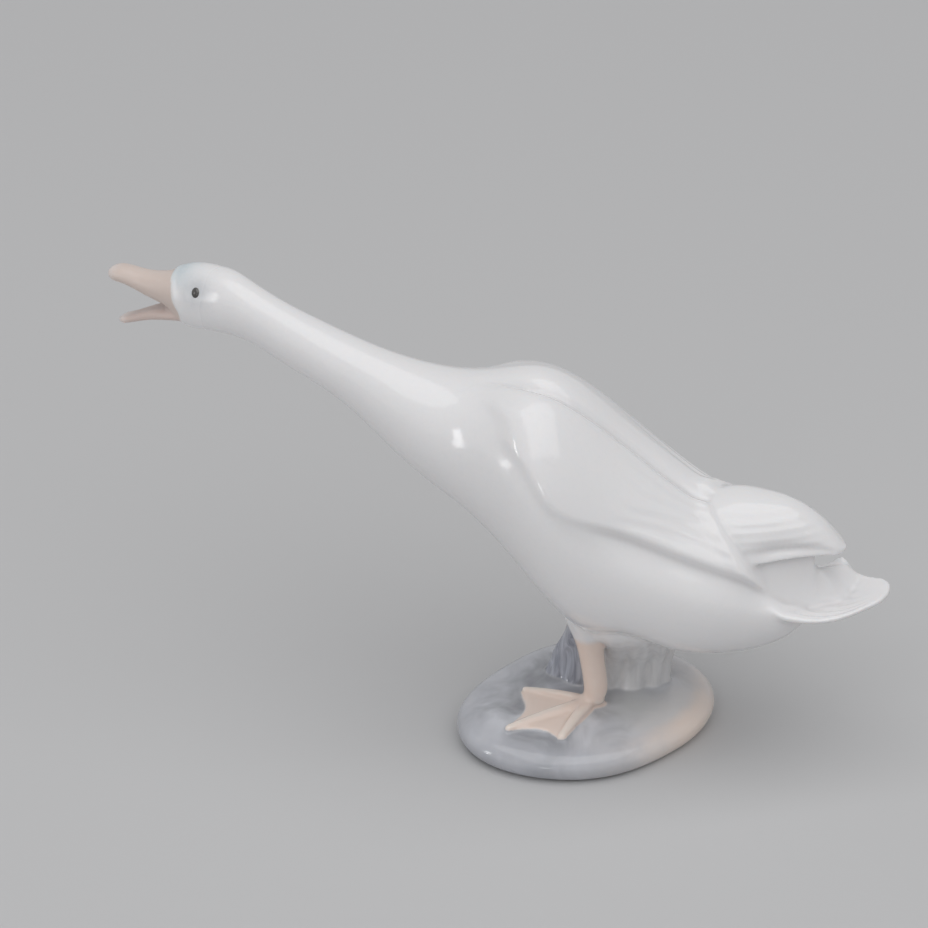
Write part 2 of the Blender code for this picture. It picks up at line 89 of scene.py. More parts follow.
def spline(stations):
    """Natural cubic through (x, value) stations, as a function of an array."""
    xs = np.array([s[0] for s in stations], float)
    ys = np.array([s[1] for s in stations], float)
    n = len(xs)
    h = np.diff(xs)
    a = np.zeros((n, n))
    b = np.zeros(n)
    a[0, 0] = 1.0
    a[-1, -1] = 1.0
    for i in range(1, n - 1):
        a[i, i - 1] = h[i - 1]
        a[i, i] = 2 * (h[i - 1] + h[i])
        a[i, i + 1] = h[i]
        b[i] = 6 * ((ys[i + 1] - ys[i]) / h[i] - (ys[i] - ys[i - 1]) / h[i - 1])
    m = np.linalg.solve(a, b)

    def value(x):
        x = np.clip(np.asarray(x, float), xs[0], xs[-1])
        i = np.clip(np.searchsorted(xs, x, side="right") - 1, 0, n - 2)
        p = xs[i + 1] - x
        q = x - xs[i]
        w = h[i]
        return (
            m[i] * p**3 / (6 * w)
            + m[i + 1] * q**3 / (6 * w)
            + (ys[i] / w - m[i] * w / 6) * p
            + (ys[i + 1] / w - m[i + 1] * w / 6) * q
        )

    return value


def ramp(x, low, high):
    """Smooth step from 0 at low to 1 at high."""
    t = np.clip((np.asarray(x, float) - low) / (high - low), 0.0, 1.0)
    return t * t * (3 - 2 * t)


def end_round(x, end, length):
    """1 inside, falling to 0 at the end like a circle's quadrant."""
    t = np.clip(1 - np.abs(np.asarray(x, float) - end) / length, 0.0, 1.0)
    return np.sqrt(np.maximum(1 - t * t, 0.0))


def spaced(start, stop, count):
    """Values bunched towards both ends, for rounded ends."""
    t = 0.5 - 0.5 * np.cos(np.linspace(0, math.pi, count))
    return start + (stop - start) * t


wet_parts = {}


def loft(part, rings):
    """Closed skin over an array of rings (rings, points, 3), kept under the part's name."""
    rings = np.asarray(rings, float)
    count, around = rings.shape[:2]
    points = np.concatenate([rings.reshape(-1, 3), [rings[0].mean(axis=0), rings[-1].mean(axis=0)]])
    i, j = np.meshgrid(np.arange(count - 1), np.arange(around), indexing="ij")
    i, j = i.ravel(), j.ravel()
    k = (j + 1) % around
    a, b, c, d = i * around + j, i * around + k, (i + 1) * around + k, (i + 1) * around + j
    faces = np.concatenate([np.stack([a, b, c], axis=1), np.stack([a, c, d], axis=1)])
    j = np.arange(around)
    k = (j + 1) % around
    low = np.full(around, count * around)
    top = (count - 1) * around
    first_cap = np.stack([low, k, j], axis=1)
    last_cap = np.stack([low + 1, top + j, top + k], axis=1)
    faces = np.concatenate([faces, first_cap, last_cap])
    corner = points[faces]
    if np.einsum("ij,ij->i", corner[:, 0], np.cross(corner[:, 1], corner[:, 2])).sum() < 0:
        faces = faces[:, ::-1]
    wet_parts.setdefault(part, []).append((points, faces))


trunk_y = spline([
    (HEAD_X - 14, HEAD_Y + 5.2), (HEAD_X - 8, HEAD_Y + 3.0), (HEAD_X, HEAD_Y), (HEAD_X + 7, HEAD_Y - 3.0),
    (-90, 20.5), (-82, 16.7), (-72, 12.8), (-62, 9.3), (-52, 6.4), (-42, 4.7), (-32, 2.8), (-22, -0.6),
    (-12, -3.7), (-2, -3.2), (8, -1.4), (18, -0.6), (28, -0.6), (38, -0.5), (60, -0.4),
])
trunk_z = spline([
    (HEAD_X - 14, 102.0), (HEAD_X - 8, 102.4), (HEAD_X, 103.5), (HEAD_X + 7, 104.4), (-90, 103.5),
    (-82, 101.2), (-72, 98.4), (-62, 94.9), (-52, 90.1), (-42, 85.6), (-32, 82.8),
    (-22, 81.2), (-12, 77.5), (-2, 69.3), (8, 60.6), (18, 55.7), (28, 52.6),
    (38, 50.4), (48, 48.2), (54, 46.6), (60, 45.4),
])
trunk_h = spline([
    (HEAD_X - 14, 7.0), (HEAD_X - 8, 7.9), (HEAD_X, 8.9), (HEAD_X + 7, 8.7), (-90, 7.9), (-82, 7.9),
    (-72, 8.3), (-62, 9.6), (-52, 12.4), (-42, 15.1), (-32, 17.9), (-22, 23.0),
    (-12, 29.3), (-2, 33.0), (8, 32.3), (18, 27.8), (28, 23.4), (38, 20.4),
    (48, 15.6), (54, 10.8), (60, 7.2),
])
trunk_w = spline([
    (HEAD_X - 14, 6.0), (HEAD_X - 8, 7.2), (HEAD_X, 7.9), (HEAD_X + 7, 7.7), (-90, 7.1), (-82, 7.1),
    (-72, 7.8), (-62, 8.7), (-52, 10.6), (-42, 13.6), (-32, 17.0), (-22, 20.6),
    (-12, 23.6), (-2, 25.5), (8, 26.0), (18, 25.2), (28, 23.2), (38, 20.4),
    (48, 16.0), (54, 13.0), (60, 9.5),
])

# Lines on the flank, as angle round the section (90 is the top, 180 the near side).
wing_edge = spline([(-6, 163), (2, 157.5), (8, 152), (14, 148), (22, 145.5), (30, 145), (38, 147),
                    (45.5, 149.5), (50, 151)])
wing_rear = spline([(88, 33), (100, 33), (106, 33.5), (120, 37), (133, 40.5), (145, 44), (152, 47)])
wing_front = spline([(95, -24), (120, -22), (133, -18), (145, -16), (151, -12.5), (158, -9), (166, -5)])
feather_lines = [
    spline([(24, 109), (30, 107.5), (34, 108)]),
    spline([(17, 123), (24, 118), (30, 115.5), (36, 119)]),
    spline([(14, 136), (20, 130.5), (26, 126), (32, 126), (39, 131.5)]),
    spline([(6, 150), (13, 143), (19, 138), (26, 134.5), (33, 134.5), (41, 139)]),
]


def wing_relief(x, deg, w, h):
    """How far the carved surface stands off the plain section."""
    arc = math.radians(1.0) * 0.5 * (w + h)
    rear_x = wing_rear(np.clip(deg, 88, 152))
    front_x = wing_front(np.clip(deg, 95, 166))
    inside_rear = 1 - ramp(x, rear_x - 0.2, rear_x + 1.4)
    inside_front = ramp(x, front_x - 5.0, front_x + 3.0)
    below = (deg - wing_edge(x)) * arc
    inside_edge = 1 - ramp(below, -0.4, 1.6)
    growth = ramp(x, -14, 14)
    step = WING_STEP * (0.35 + 0.65 * growth)
    lip = 1.0 * np.exp(-(((x - rear_x + 2.1) / 2.3) ** 2)) * inside_edge * (deg > 92)
    value = inside_rear * inside_front * inside_edge * 0.12 * step + lip * growth
    shoulder = ramp(deg, 108, 126) * (1 - ramp(deg, 158, 170))
    fold = ramp(x, front_x - 4.5, front_x + 1.5) * (1 - ramp(x, front_x + 1.0, front_x + 24.0))
    value = value + FOLD_HEIGHT * shoulder * fold
    value = value - 0.12 * shoulder * np.exp(-(((x - front_x + 7.0) / 4.2) ** 2))
    hollow = ramp(below, -0.8, 1.8) * np.exp(-(((below - 1.6) / 6.5) ** 2)) * growth
    value = value - hollow * 1.15 * step * (1 - ramp(x, 46, 52))
    value = value - 0.5 * step * ramp(x, rear_x, rear_x + 2.0) * inside_edge
    for line in feather_lines:
        away = (deg - line(x)) * arc
        reach = ramp(x, 6, 18) * inside_rear * (1 - ramp(x, rear_x - 3.5, rear_x - 1.5))
        value = value - FEATHER_GROOVE * np.exp(-((away / 0.85) ** 2)) * reach
    return value


def trunk_rings(along, around):
    xs = spaced(TRUNK_FRONT, TRUNK_REAR, along)
    xs = np.unique(np.concatenate([xs, np.linspace(-30, 52, along // 2)]))
    turn = np.linspace(0, 2 * math.pi, around, endpoint=False)
    deg = np.degrees(turn)
    mirrored = np.where(deg > 270, 540 - deg, np.where(deg < 90, 180 - deg, deg))
    rings = []
    for x in xs:
        close = end_round(x, TRUNK_FRONT, 10.5) * end_round(x, TRUNK_REAR, 9.0)
        w = float(trunk_w(x)) * close
        h = float(trunk_h(x)) * close
        away = (deg - (96.0 + 4.0 * ramp(x, -30, -10) * (1 - ramp(x, -4, 18)))) * math.radians(1)
        away = away * 0.5 * (w + h)
        groove = ramp(x, -33, -12) * (1 - ramp(x, 30, 37))
        off = -BACK_GROOVE * groove / (1 + (away / 2.1) ** 2)
        off = off - 0.5 * groove * np.exp(-((away / 0.8) ** 2))
        off = off + wing_relief(np.full(around, x), mirrored, w, h) * (x > -40)
        hollow = math.exp(-(((x - 12) / 10) ** 2)) * np.exp(-(((deg - 238) / 30) ** 2))
        off = off - BELLY_LIFT * hollow
        upper = ramp(np.sin(turn), 0.0, 0.5) * ramp(x, 42, 54)
        y = float(trunk_y(x)) + (w * (1 - 0.35 * upper) + off) * np.cos(turn)
        z = float(trunk_z(x)) + (h * (1 - (0.65 + 0.3 * float(ramp(x, 46, 54))) * upper) + off) * np.sin(turn)
        rings.append(np.stack([np.full(around, x), y, z], axis=1))
    return rings


loft("body", trunk_rings(330, 380))


# Bill: two hollowed halves of porcelain, pressed apart and luted to the front of the head,
# which is turned a little towards the far side.
HEAD_TURN = math.radians(20.5)
head_point = np.array([HEAD_X, HEAD_Y, 0.0])
forward = np.array([-math.cos(HEAD_TURN), math.sin(HEAD_TURN), 0.0])
sideways = np.array([math.sin(HEAD_TURN), math.cos(HEAD_TURN), 0.0])
upper_z = spline([(4, 103.1), (10, 103.0), (15.5, 102.6), (19.6, 102.8), (23.8, 103.2), (28.9, 102.6)])
upper_h = spline([(4, 6.6), (8, 5.5), (10, 4.9), (15.5, 3.65), (19.4, 3.0), (23.8, 2.5), (28.9, 2.1)])
upper_w = spline([(4, 6.6), (8, 5.6), (10, 5.1), (15.5, 3.9), (19.4, 3.35), (23.8, 3.2), (28.9, 3.0)])
lower_z = spline([(2, 99.0), (8, 97.1), (12, 95.7), (15, 94.5), (19.8, 92.1), (23.8, 90.2), (25.9, 89.5)])
lower_h = spline([(2, 2.6), (8, 2.1), (12, 1.95), (15, 1.85), (19.8, 1.6), (23.8, 1.4), (26.0, 1.3)])
lower_w = spline([(2, 5.6), (8, 4.9), (12, 4.2), (15, 3.5), (19.8, 2.6), (23.8, 2.3), (25.9, 2.2)])


def bill_half(part, level, height, width, start, stop, tip, hollow):
    """Spatulate half bill; hollow sinks the face that meets the other half."""
    turn = np.linspace(0, 2 * math.pi, 96, endpoint=False)
    rings = []
    for u in spaced(start, stop, 90):
        close = float(end_round(u, stop, tip))
        z, h, w = float(level(u)), float(height(u)) * close**0.8, float(width(u)) * close
        side = w * np.cos(turn)
        up = h * np.sin(turn)
        inner = np.exp(-((side / max(0.55 * w, 0.05)) ** 2))
        facing = np.maximum(np.sin(turn) * (1 if hollow > 0 else -1), 0.0)
        up = up - hollow * inner * facing * ramp(h, 0.2, 1.2)
        base = head_point + [0, 0, z] + forward * u
        rings.append(base + sideways * side[:, None] + np.array([0, 0, 1.0]) * up[:, None])
    loft(part, rings)


bill_half("upper_bill", upper_z, upper_h, upper_w, 3.0, 28.9, 3.6, -0.9)
bill_half("lower_bill", lower_z, lower_h, lower_w, 1.0, 26.0, 2.4, 0.7)


# Folded flight feathers: a roof-shaped spur of porcelain over the tail, with long quill grooves,
# a hollow above its rolled lower edge, and free at its tip.
SPUR_TIP = 66.8
spur_ridge = spline([(28, 70.4), (31, 72.6), (34, 74.0), (38, 74.9), (42, 74.9), (46, 74.5), (50.6, 73.8),
                     (54.5, 72.4), (58.4, 70.0), (61.8, 67.0), (64.4, 64.0), (SPUR_TIP, 61.2)])
spur_half = spline([(28, 12.6), (34, 13.0), (40, 12.7), (44, 12.0), (50, 10.0), (55, 8.2), (59, 6.7),
                    (62.5, 5.2), (65, 3.8), (SPUR_TIP, 2.3)])
spur_low = spline([(28, 58.6), (40, 60.4), (50, 61.6), (60, 61.9), (SPUR_TIP, 60.9)])
QUILL_LOWEST = 64.0
QUILL_SPACING = 2.0
QUILL_COUNT = 5
QUILL_DEPTH = 0.34


def spur_rings(along, around):
    turn = np.linspace(0, 2 * math.pi, around, endpoint=False)
    rings = []
    for x in spaced(28.0, SPUR_TIP, along):
        close = float(end_round(x, SPUR_TIP, 2.2))
        rise = (float(spur_ridge(x)) - float(spur_low(x))) * close
        half = float(spur_half(x)) * close
        low = float(spur_low(x)) + 0.4 * (1 - close)
        c, s = np.cos(turn), np.sin(turn)
        side = half * np.sign(c) * np.abs(c) ** 0.9
        up = np.where(s > 0, rise * np.abs(s) ** 1.05, -1.3 * close * np.abs(s))
        frac = np.clip(up / max(rise, 0.1), 0, 1)
        valley = np.exp(-(((frac - 0.2) / 0.13) ** 2)) * (s > 0)
        squeeze = 1 - 0.14 * valley * ramp(x, 40, 50)
        fine = np.zeros(around)
        for i in range(QUILL_COUNT):
            away = low + up - QUILL_LOWEST - QUILL_SPACING * i - 0.03 * (x - 45)
            fine += np.exp(-((away / 0.6) ** 2)) * (s > 0)
        reach = ramp(x, 30, 40) * (1 - ramp(x, 58, 65)) * ramp(np.abs(side), 1.0, 4.0)
        side = side * squeeze
        side = side - np.sign(side) * QUILL_DEPTH * fine * reach
        rings.append(np.stack([np.full(around, x), -0.5 + side, low + up], axis=1))
    return rings


loft("spur", spur_rings(140, 280))


# Tail fan: a dished leaf-shaped plate of porcelain with a rolled near edge and a turned-up
# far lobe. A cove sweeps from its dish up to the underside of the flight feathers.
TAIL_TIP = 78.2
near_y = spline([(40, -11.0), (44, -12.8), (47.5, -14.2), (51.2, -15.3), (56.4, -15.6), (61.4, -15.0),
                 (67.6, -13.0), (73.8, -8.6), (76.5, -6.2), (TAIL_TIP, -4.6)])
near_z = spline([(40, 50.0), (47.5, 49.2), (51.2, 47.9), (56.4, 47.2), (61.4, 47.1), (67.6, 47.8),
                 (73.8, 48.8), (TAIL_TIP, 49.2)])
far_y = spline([(40, 13.0), (50, 13.2), (58, 12.0), (63, 10.7), (65.6, 9.8), (68, 8.6), (73.0, 6.2),
                (TAIL_TIP, 4.0)])
far_z = spline([(40, 45.0), (52, 45.4), (58, 46.6), (62, 49.0), (64.2, 50.9), (65.8, 50.5), (67.6, 48.2),
                (70, 47.7), (73.5, 48.3), (TAIL_TIP, 49.2)])
fan_thick = spline([(40, 6.0), (50, 4.2), (58, 3.1), (66, 2.7), (TAIL_TIP, 2.5)])
fan_sag = spline([(40, 1.0), (50, 2.0), (60, 3.0), (68, 2.6), (75, 1.2), (TAIL_TIP, 0.4)])
COVE_X = 59.8
COVE_TOP = 61.8


def fan_rings(along, around):
    """Each ring runs over the top from the near edge to the far edge and back below."""
    half = around // 2
    s = 0.5 - 0.5 * np.cos(np.linspace(0, math.pi, half + 1))
    rings = []
    for x in spaced(40.0, TAIL_TIP, along):
        close = float(end_round(x, TAIL_TIP, 2.6))
        yn, zn, yf, zf = float(near_y(x)), float(near_z(x)), float(far_y(x)), float(far_z(x))
        ym, zm = 0.5 * (yn + yf), 0.5 * (zn + zf)
        yn, yf = ym + (yn - ym) * close, ym + (yf - ym) * close
        zn, zf = zm + (zn - zm) * close, zm + (zf - zm) * close
        y = yn + (yf - yn) * s
        curl = ramp(s, 0.62, 1.0)
        z = zn + (zf - zn) * curl - float(fan_sag(x)) * 4 * s * (1 - s)
        thick = float(fan_thick(x)) * (0.35 + 0.65 * close)
        bulb = np.sqrt(np.maximum(4 * s * (1 - s), 0.0)) ** 0.6
        grain = np.zeros(len(s))
        for i in range(5):
            grain += np.exp(-(((s - 0.14 - 0.125 * i) / 0.026) ** 2))
        grain = grain * 0.4 * ramp(x, 46, 54) * (1 - ramp(x, 70, 77))
        top = z + 0.5 * thick * bulb - grain
        across = ((x - COVE_X) * 13.0 - (y + 3.0) * 6.0) / 14.3
        near = 1 - ramp(y, -6.0, -2.0)
        across = across + near * (x - COVE_X + 16.0 * ramp(-y, 3.0, 13.5) - across)
        slit = ramp(x + 0.16 * y, COVE_X - 2.2, COVE_X - 0.4)
        sill = 36.5 - 0.583 * y + 0.286 * x
        wall_top = COVE_TOP + slit * np.minimum(sill - COVE_TOP, 0.0)
        rise = np.maximum(wall_top - top, 0.0) * ramp(np.minimum(y - yn, yf - y), -1.0, 3.0)
        top = top + rise * (1 - ramp(across, -0.5 - 5.5 * near, 6.5 - near))
        low = z - 0.5 * thick * bulb
        over = np.stack([np.full(half + 1, x), y, top], axis=1)
        under = np.stack([np.full(half + 1, x), y, low], axis=1)[::-1][1:-1]
        rings.append(np.concatenate([over, under]))
    return rings


loft("tail", fan_rings(140, 220))


# Legs and webbed feet: rolled and pressed porcelain, luted to the belly and to the top of the
# base. The far leg and foot stand beside the support.
LEG_TOP_RADIUS = 3.7
LEG_LOW_RADIUS = 3.1
TOE_RADIUS = 1.35


def rolled_bar(part, points, radii, around=36, steps=40):
    """Round bar along a smooth path, with rounded ends."""
    points = np.asarray(points, float)
    t = np.linspace(0, 1, len(points))
    px, py, pz = (spline(list(zip(t, points[:, k]))) for k in range(3))
    radius = spline(list(zip(t, radii)))
    rings = []
    turn = np.linspace(0, 2 * math.pi, around, endpoint=False)
    total = np.linalg.norm(np.diff(points, axis=0), axis=1).sum()
    for v in spaced(0, 1, steps):
        here = np.array([px(v), py(v), pz(v)], float)
        later, sooner = min(v + 0.01, 1), max(v - 0.01, 0)
        d = np.array([px(later) - px(sooner), py(later) - py(sooner), pz(later) - pz(sooner)], float)
        d = d / np.linalg.norm(d)
        aside = np.cross(d, [0.0, 0.0, 1.0])
        if np.linalg.norm(aside) < 0.2:
            aside = np.cross(d, [1.0, 0.0, 0.0])
        aside = aside / np.linalg.norm(aside)
        lift = np.cross(aside, d)
        r = float(radius(v))
        edge = min(v, 1 - v) * total
        r = r * math.sqrt(max(1 - max(1 - edge / r, 0.0) ** 2, 0.0))
        rings.append(here + r * (aside * np.cos(turn)[:, None] + lift * np.sin(turn)[:, None]))
    loft(part, rings)


def web(part, corners, thick):
    """Thin sheet between two toes, sunk in the middle."""
    a, b, c, d = (np.asarray(p, float) for p in corners)
    rings = []
    for v in np.linspace(0, 1, 24):
        left = a + (d - a) * v
        right = b + (c - b) * v
        u = np.linspace(0, 1, 24)
        line = left + (right - left) * u[:, None]
        sink = 4 * u * (1 - u)
        line[:, 2] -= 0.3 * sink
        inward = 0.5 * (a + b) - 0.5 * (c + d)
        line = line + inward * (0.16 * sink * v)[:, None]
        rings.append(np.concatenate([line + [0, 0, 0.55], (line - [0, 0, thick])[::-1]]))
    loft(part, rings)


def webbed_foot(part, heel, tips, hind):
    heel = np.asarray(heel, float)
    tips = [np.asarray(t, float) for t in tips]
    for tip in tips:
        middle = 0.5 * (heel + tip) + [0, 0, 0.5]
        rolled_bar(part, [heel, middle, tip], [TOE_RADIUS * 1.35, TOE_RADIUS * 1.05, TOE_RADIUS * 0.75])
    rolled_bar(part, [heel, hind], [TOE_RADIUS * 1.2, TOE_RADIUS * 0.8])
    for first, second in zip(tips, tips[1:]):
        web(part, [heel, heel + (second - first) * 0.02, second * 0.97 + heel * 0.03,
                   first * 0.97 + heel * 0.03], 2.4)


leg_radii = [5.2, LEG_TOP_RADIUS, 3.2, LEG_LOW_RADIUS, 2.8]
rolled_bar("leg", [(-0.2, -9.0, 45.0), (0.8, -8.0, 38.0), (1.7, -6.8, 30.0), (2.7, -5.9, 21.0),
                   (3.2, -5.5, 14.5), (2.2, -6.0, 10.6)], [6.0, *leg_radii])
webbed_foot("leg", (1.6, -6.4, 10.6), [(-16.6, -2.2, 9.9), (-18.2, -20.6, 9.4), (-3.6, -22.9, 9.5)],
            (5.6, -4.2, 10.1))
rolled_bar("leg", [(7.0, 9.5, 38.0), (8.0, 11.0, 30.0), (10.0, 13.0, 20.0), (11.0, 14.0, 14.0),
                   (10.5, 14.5, 10.6)], leg_radii)
webbed_foot("leg", (10.2, 14.6, 10.6), [(-4.5, 20.5, 9.9), (5.0, 27.0, 9.3), (17.0, 26.5, 9.4)],
            (13.0, 11.5, 10.1))


# Support: a fluted mound of porcelain behind the near leg, which carries the belly through
# the firing. Its foot stands on the base in soft scallops.
support_x = spline([(4, 4.0), (9.5, 4.3), (13, 5.0), (17, 5.9), (22, 7.5), (28, 8.6), (34, 9.4), (40, 10.4),
                    (44, 11.0)])
support_rx = spline([(4, 18.5), (9.5, 16.6), (13, 16.0), (17, 15.6), (22, 15.0), (28, 14.4), (34, 14.2),
                     (40, 13.6), (44, 12.5)])
support_ry = spline([(4, 9.0), (9.5, 7.4), (13, 6.8), (17, 7.0), (22, 8.4), (26, 10.2), (30, 12.8),
                     (34, 15.2), (40, 16.8), (44, 16.5)])
support_y = spline([(4, 9.0), (13, 8.9), (17, 8.5), (22, 7.2), (26, 5.6), (30, 3.9), (34, 2.5), (40, 1.2),
                    (44, 0.6)])
flutes = [(-105, 5.5, 1.6), (-78, 4.5, 1.1), (-140, 9.0, 1.0), (-48, 6.0, 1.2), (-22, 6.0, 0.9),
          (20, 8.0, 1.0), (55, 8.0, 1.3), (95, 8.0, 1.3), (135, 8.0, 1.2), (172, 7.0, 0.8)]


def support_rings():
    turn = np.linspace(-math.pi, math.pi, 300, endpoint=False)
    deg = np.degrees(turn)
    rings = []
    for z in np.linspace(4.0, 44.0, 90):
        flute = np.zeros(len(turn))
        for place, wide, deep in flutes:
            away = (deg - place + 180) % 360 - 180
            flute -= deep * np.exp(-((away / wide) ** 2))
        flute = flute * ramp(z, 6, 11) * (1 - ramp(z, 26, 36))
        x = float(support_x(z)) + (float(support_rx(z)) + flute) * np.cos(turn)
        y = float(support_y(z)) + (float(support_ry(z)) + flute) * np.sin(turn)
        rings.append(np.stack([x, y, np.full(len(turn), z)], axis=1))
    return rings


loft("support", support_rings())


# Base: a smooth oval pebble of porcelain, ground flat below, under a thick coloured glaze.
BASE_RADIUS = 30.8
BASE_STRETCH = 3.3
BASE_STRETCH_TURN = math.radians(40.0)
BASE_MIDDLE_Y = 0.3
base_profile = [(0.80, -2.0), (0.88, -0.4), (0.95, 0.9), (0.985, 2.3), (1.0, 4.1), (0.985, 5.7), (0.945, 7.1),
                (0.875, 8.1), (0.76, 8.7), (0.6, 9.0), (0.4, 9.2), (0.2, 9.3), (0.05, 9.35)]


def base_outline(turn):
    outline = BASE_RADIUS + BASE_STRETCH * np.cos(2 * (turn - BASE_STRETCH_TURN))
    outline = outline + 0.3 * np.cos(3 * turn + 0.5) + 0.65 * np.sin(4 * turn)
    return outline + 0.6 * np.exp(-(((turn - math.radians(222)) / 0.45) ** 2))


def base_rings():
    turn = np.linspace(0, 2 * math.pi, 260, endpoint=False)
    outline = base_outline(turn)
    t = np.arange(len(base_profile), dtype=float)
    share = spline([(a, p[0]) for a, p in zip(t, base_profile)])
    level = spline([(a, p[1]) for a, p in zip(t, base_profile)])
    rings = []
    for v in np.linspace(0, t[-1], 90):
        r = outline * float(share(v))
        z = np.full(len(turn), float(level(v)))
        rings.append(np.stack([r * np.cos(turn), BASE_MIDDLE_Y + r * np.sin(turn), z], axis=1))
    return rings


loft("base", base_rings())


# The whole figure: the cast parts are luted together wet, sponged smooth and dipped, so one
# skin covers them, and the glaze runs thick into every hollow and thin over every edge.
SKIN_PITCH = 0.45
SMOOTH_ROUNDS = 10
SMOOTH_PULL = 0.5
SMOOTH_PUSH = 0.52
POOL_ROUNDS = 14
POOL_FILL = 0.5
POOL_WEAR = 0.06


def wet_mesh(name, names):
    """One mesh in metres of every shell of the named parts."""
    points, faces, start = [], [], 0
    for part in names:
        for p, f in wet_parts[part]:
            points.append(p * MM)
            faces.append(f + start)
            start += len(p)
    points, faces = np.concatenate(points), np.concatenate(faces)
    mesh = bpy.data.meshes.new(name)
    mesh.vertices.add(len(points))
    mesh.vertices.foreach_set("co", points.astype(np.float32).ravel())
    mesh.loops.add(faces.size)
    mesh.loops.foreach_set("vertex_index", faces.astype(np.int32).ravel())
    mesh.polygons.add(len(faces))
    mesh.polygons.foreach_set("loop_start", np.arange(0, faces.size, 3, dtype=np.int32))
    mesh.update(calc_edges=True)
    mesh.validate()
    return mesh


raw = bpy.data.objects.new("luted", wet_mesh("luted", list(wet_parts)))
bpy.context.scene.collection.objects.link(raw)
one_skin = raw.modifiers.new("one_skin", "REMESH")
one_skin.mode = "VOXEL"
one_skin.voxel_size = SKIN_PITCH * MM
one_skin.adaptivity = 0.0
bpy.context.view_layer.update()
skin = bpy.data.meshes.new_from_object(raw.evaluated_get(bpy.context.evaluated_depsgraph_get()))
bpy.data.objects.remove(raw)

points = np.empty(len(skin.vertices) * 3, np.float32)
skin.vertices.foreach_get("co", points)
points = points.reshape(-1, 3).astype(float) / MM
edges = np.empty(len(skin.edges) * 2, np.int32)
skin.edges.foreach_get("vertices", edges)
edges = edges.reshape(-1, 2)
meets = np.bincount(edges.ravel(), minlength=len(points)).astype(float)


def neighbour_mean(values):
    """Mean of each point's neighbours, for an array of one value or three per point."""
    values = values.reshape(len(meets), -1)
    out = np.empty_like(values)
    for k in range(values.shape[1]):
        column = values[:, k]
        total = np.bincount(edges[:, 0], weights=column[edges[:, 1]], minlength=len(meets))
        total += np.bincount(edges[:, 1], weights=column[edges[:, 0]], minlength=len(meets))
        out[:, k] = total / meets
    return out.squeeze()


def point_normals(values):
    skin.vertices.foreach_set("co", (values * MM).astype(np.float32).ravel())
    skin.update()
    normals = np.empty(len(skin.vertices) * 3, np.float32)
    skin.vertex_normals.foreach_get("vector", normals)
    return normals.reshape(-1, 3).astype(float)


for _ in range(SMOOTH_ROUNDS):
    points = points + SMOOTH_PULL * (neighbour_mean(points) - points)
    points = points - SMOOTH_PUSH * (neighbour_mean(points) - points)
for _ in range(POOL_ROUNDS):
    normals = point_normals(points)
    pull = neighbour_mean(points) - points
    hollow = np.einsum("ij,ij->i", pull, normals)
    fill = POOL_FILL * np.maximum(hollow, 0.0) + POOL_WEAR * np.minimum(hollow, 0.0)
    points = points + normals * fill[:, None]


# Head: the skin is sponged smoother where the head runs into the neck. Eye sockets are pressed
# a little into it, and it stands up in a soft lip where the feathers meet the bill.
HEAD_BACK = -14.0
HEAD_BOTTOM = 88.0
NAPE_U = -3.2
NAPE_REACH = 3.0
NAPE_ROUNDS = 70
LIP_HEIGHT = 0.16
EYE_U = -0.6
EYE_OUT = 7.4
EYE_LEVEL = 108.5
SOCKET_DEPTH = 0.3
SOCKET_REACH = 2.6
bill_line = spline([(92, 3.6), (97, 4.6), (100, 4.5), (102, 5.6), (105, 6.8), (107.1, 7.8), (108.2, 9.0),
                    (110, 10.5)])


def head_axes(values):
    """Distance ahead of the eyes' section, to the far side, and height, of each point."""
    from_head = values - head_point
    return from_head @ forward, from_head @ sideways, values[:, 2]


u, v, level = head_axes(points)
near_head = (u > HEAD_BACK) & (level > HEAD_BOTTOM)
nape = 0.5 * np.exp(-(((u - NAPE_U) / NAPE_REACH) ** 2)) * (level > HEAD_BOTTOM)
for _ in range(NAPE_ROUNDS):
    points = points + nape[:, None] * (neighbour_mean(points) - points)
past_line = u - bill_line(level)
normals = point_normals(points)
move = np.zeros(len(points))
for side in (-1, 1):
    away = np.sqrt((u - EYE_U) ** 2 + (v - side * EYE_OUT) ** 2 + (level - EYE_LEVEL) ** 2)
    move -= SOCKET_DEPTH * np.exp(-((away / SOCKET_REACH) ** 2))
move += LIP_HEIGHT * np.exp(-(((past_line + 0.9) / 0.8) ** 2))
points = points + normals * (move * near_head)[:, None]
points[:, 2] = np.maximum(points[:, 2], 0.0)
fine_normals = point_normals(points)


# Thinning: the fine skin is reduced to a lighter mesh, and keeps its shading.
# Loose crumbs, with points on fewer than three edges, are dropped from it.
SKIN_TRIANGLES = 188000
fine_skin = bpy.data.objects.new("fine_skin", skin)
bpy.context.scene.collection.objects.link(fine_skin)
thin = fine_skin.modifiers.new("thin", "DECIMATE")
thin.ratio = min(1.0, SKIN_TRIANGLES / (2.0 * len(skin.polygons)))
bpy.context.view_layer.update()
goose_mesh = bpy.data.meshes.new_from_object(fine_skin.evaluated_get(bpy.context.evaluated_depsgraph_get()))
bpy.data.objects.remove(fine_skin)
goose_mesh.name = "goose"
thin_skin = bmesh.new()
thin_skin.from_mesh(goose_mesh)
bmesh.ops.delete(thin_skin, geom=[v for v in thin_skin.verts if len(v.link_edges) < 3], context="VERTS")
thin_skin.to_mesh(goose_mesh)
thin_skin.free()
goose = bpy.data.objects.new("goose", goose_mesh)
bpy.context.scene.collection.objects.link(goose)
fine_tree = KDTree(len(points))
for i, p in enumerate(points):
    fine_tree.insert(p, i)
fine_tree.balance()
goose_mesh.polygons.foreach_set("use_smooth", [True] * len(goose_mesh.polygons))
goose_points = np.array([v.co for v in goose_mesh.vertices]) / MM
nearest = [fine_tree.find(p)[1] for p in goose_points]
